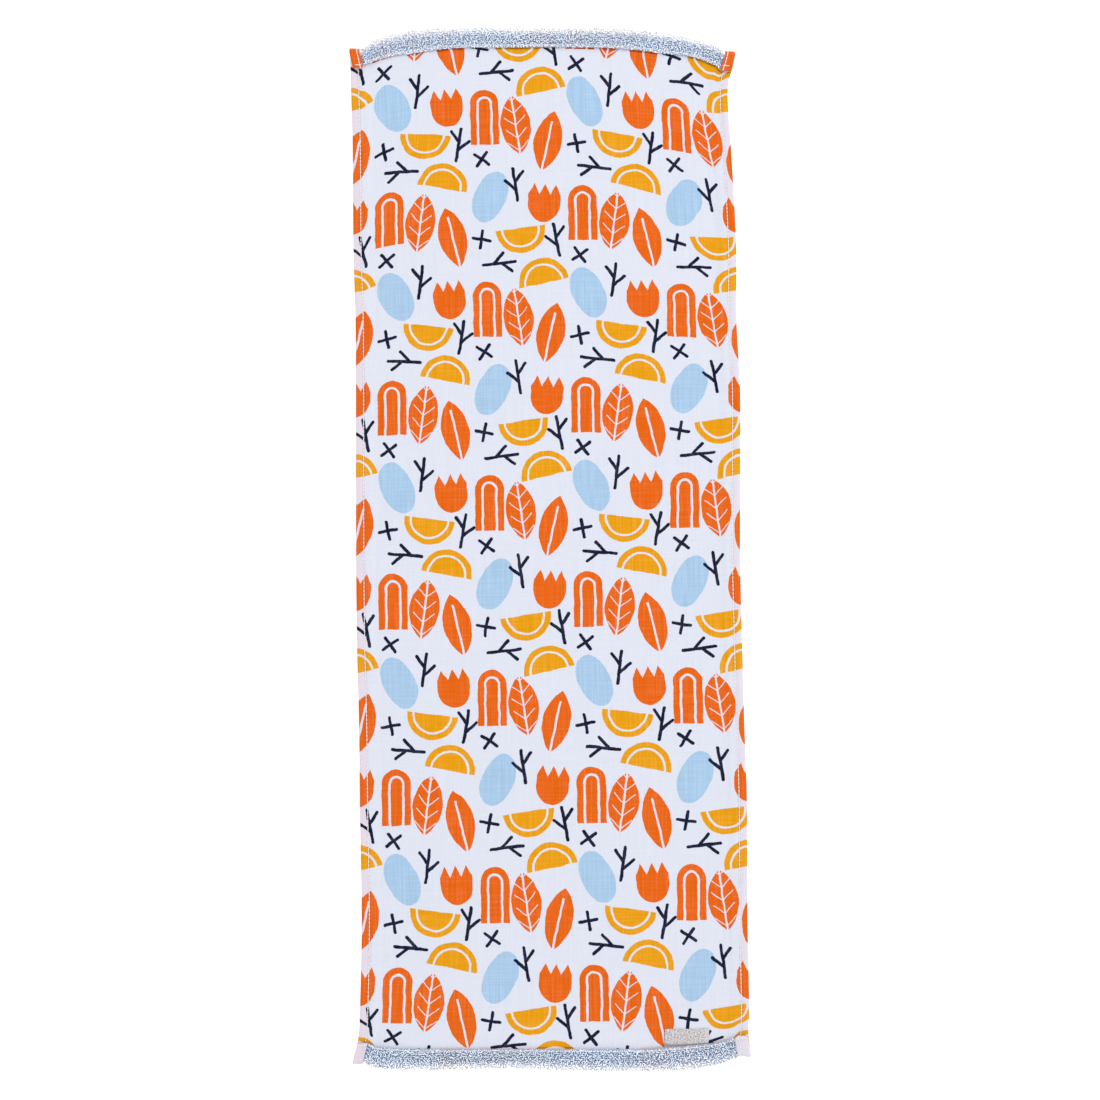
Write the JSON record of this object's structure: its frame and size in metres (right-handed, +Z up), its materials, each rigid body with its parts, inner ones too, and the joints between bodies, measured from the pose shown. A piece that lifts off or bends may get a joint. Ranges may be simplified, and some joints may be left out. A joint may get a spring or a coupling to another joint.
{
  "type": "face towel",
  "caption": "Flat face towel of gauze and terry, its side hems folded under and its end hems folded over the face, with a small plain label in one end hem.",
  "frame": {"origin": "centre of the towel's bounding box, at the surface it lies on", "axes": "+X across the towel to the label's side, +Y along the towel away from the labelled end, +Z up out of the gauze face"},
  "size_m": [0.3416, 0.9018, 0.0073],
  "materials": {
    "gauze_terry": "matt printed gauze face with terry pile back",
    "label_tape": "plain woven satin tape"
  },
  "bodies": {
    "root": {"towel_cloth": "gauze_terry", "label": "label_tape"}
  },
  "joints": []
}
